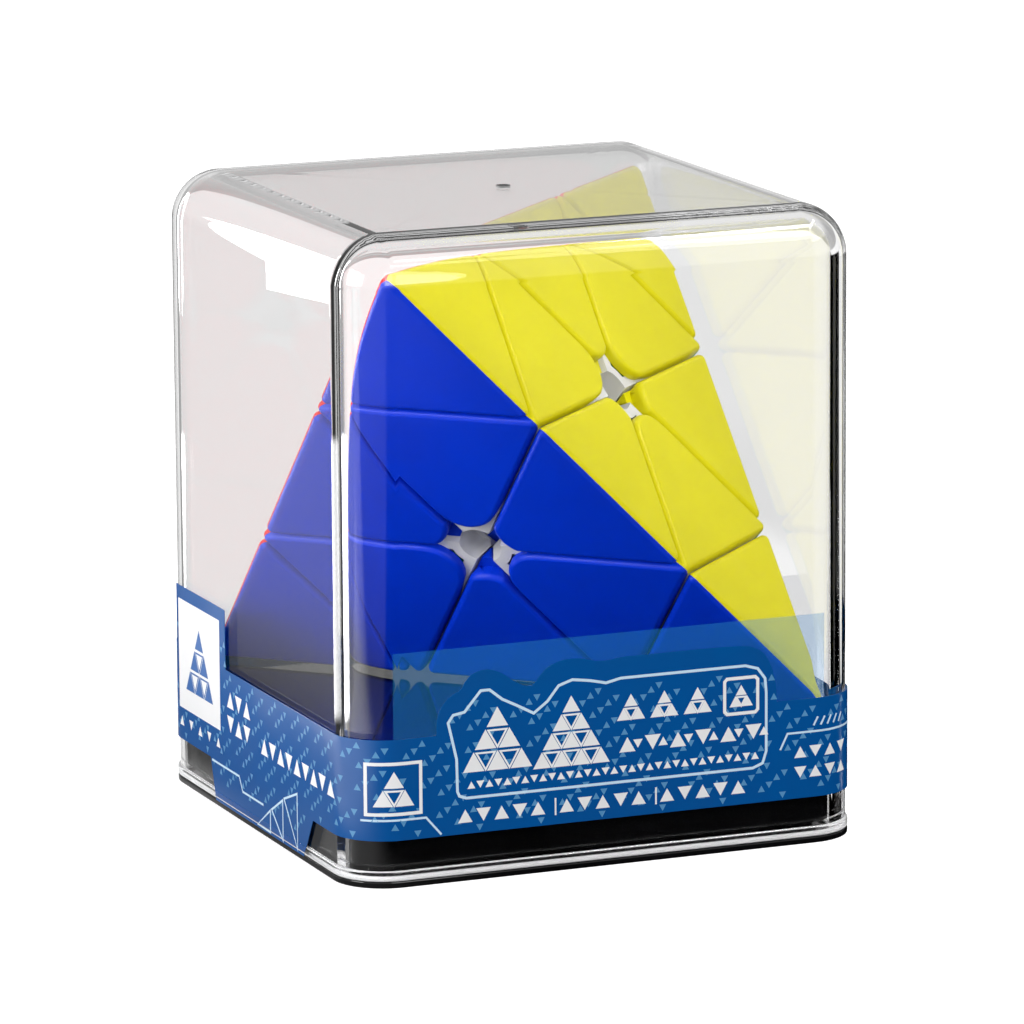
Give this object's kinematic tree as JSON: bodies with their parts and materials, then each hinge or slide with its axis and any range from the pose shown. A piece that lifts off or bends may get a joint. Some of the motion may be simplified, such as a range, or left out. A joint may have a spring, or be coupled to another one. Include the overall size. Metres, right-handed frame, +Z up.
{
  "type": "pyramid twisty puzzle",
  "caption": "Tetrahedral twisty puzzle with turning tips and corner layers, standing on an edge in a clear display case with a dark plinth.",
  "frame": {"origin": "centre of the underside of the display case", "axes": "+Z up, +X to the right and +Y to the back, square to the case's walls"},
  "size_m": [0.0828, 0.0828, 0.0964],
  "materials": {
    "blue_plastic": "moulded, smooth satin gloss",
    "yellow_plastic": "moulded, smooth satin gloss",
    "red_plastic": "moulded, smooth satin gloss",
    "green_plastic": "moulded, smooth satin gloss",
    "white_plastic": "moulded, fine satin",
    "screw_steel": "zinc-plated",
    "spring_steel": "bright drawn wire and sheet",
    "magnet_plating": "nickel-plated",
    "clear_plastic": "clear, polished",
    "black_plastic": "high gloss",
    "printed_film": "clear film printed blue"
  },
  "bodies": {
    "case_base": {"display_base": "black_plastic"},
    "puzzle": {"axial_upper_back_carrier": "white_plastic", "axial_upper_back_yellow": "yellow_plastic", "axial_upper_back_red": "red_plastic", "axial_upper_back_green": "green_plastic", "axial_lower_left_carrier": "white_plastic", "axial_lower_left_blue": "blue_plastic", "axial_lower_left_red": "red_plastic", "axial_lower_left_green": "green_plastic", "axial_lower_right_carrier": "white_plastic", "axial_lower_right_blue": "blue_plastic", "axial_lower_right_yellow": "yellow_plastic", "axial_lower_right_green": "green_plastic", "edge_blue_green_blue_shell": "blue_plastic", "edge_blue_green_green_shell": "green_plastic", "edge_yellow_green_yellow_shell": "yellow_plastic", "edge_yellow_green_green_shell": "green_plastic", "edge_red_green_red_shell": "red_plastic", "edge_red_green_green_shell": "green_plastic", "core_ball": "white_plastic", "tension_screws": "screw_steel", "tension_springs": "spring_steel", "spring_washers": "spring_steel", "puzzle_magnets": "magnet_plating"},
    "cover": {"clear_cover": "clear_plastic", "printed_sleeve": "printed_film"},
    "layer": {"axial_upper_front_carrier": "white_plastic", "axial_upper_front_blue": "blue_plastic", "axial_upper_front_yellow": "yellow_plastic", "axial_upper_front_red": "red_plastic", "edge_blue_yellow_blue_shell": "blue_plastic", "edge_blue_yellow_yellow_shell": "yellow_plastic", "edge_blue_red_blue_shell": "blue_plastic", "edge_blue_red_red_shell": "red_plastic", "edge_red_yellow_red_shell": "red_plastic", "edge_red_yellow_yellow_shell": "yellow_plastic", "layer_magnets": "magnet_plating"},
    "tip_upper_front": {"tip_upper_front_carrier": "white_plastic", "tip_upper_front_blue": "blue_plastic", "tip_upper_front_yellow": "yellow_plastic", "tip_upper_front_red": "red_plastic"},
    "tip_upper_back": {"tip_upper_back_carrier": "white_plastic", "tip_upper_back_yellow": "yellow_plastic", "tip_upper_back_red": "red_plastic", "tip_upper_back_green": "green_plastic"},
    "tip_lower_left": {"tip_lower_left_carrier": "white_plastic", "tip_lower_left_blue": "blue_plastic", "tip_lower_left_red": "red_plastic", "tip_lower_left_green": "green_plastic"},
    "tip_lower_right": {"tip_lower_right_carrier": "white_plastic", "tip_lower_right_blue": "blue_plastic", "tip_lower_right_yellow": "yellow_plastic", "tip_lower_right_green": "green_plastic"}
  },
  "joints": [
    {"name": "puzzle_lift", "type": "slide", "parent": "case_base", "child": "puzzle", "axis": [0, 0, 1], "range_m": [0, 0.06]},
    {"name": "cover_lift", "type": "slide", "parent": "puzzle", "child": "cover", "axis": [0, 0, 1], "range_m": [0, 0.1]},
    {"name": "layer_turn", "type": "hinge", "parent": "puzzle", "child": "layer", "pos_m": [0.0018, -0.0007, 0.05496], "axis": [-0.5774, -0.5774, 0.5774], "continuous": true},
    {"name": "tip_turn_upper_front", "type": "hinge", "parent": "layer", "child": "tip_upper_front", "pos_m": [0.0018, -0.0007, 0.05496], "axis": [-0.5774, -0.5774, 0.5774], "continuous": true},
    {"name": "tip_turn_upper_back", "type": "hinge", "parent": "puzzle", "child": "tip_upper_back", "pos_m": [0.0018, -0.0007, 0.05496], "axis": [0.5774, 0.5774, 0.5774], "continuous": true},
    {"name": "tip_turn_lower_left", "type": "hinge", "parent": "puzzle", "child": "tip_lower_left", "pos_m": [0.0018, -0.0007, 0.05496], "axis": [-0.5774, 0.5774, -0.5774], "continuous": true},
    {"name": "tip_turn_lower_right", "type": "hinge", "parent": "puzzle", "child": "tip_lower_right", "pos_m": [0.0018, -0.0007, 0.05496], "axis": [0.5774, -0.5774, -0.5774], "continuous": true}
  ]
}
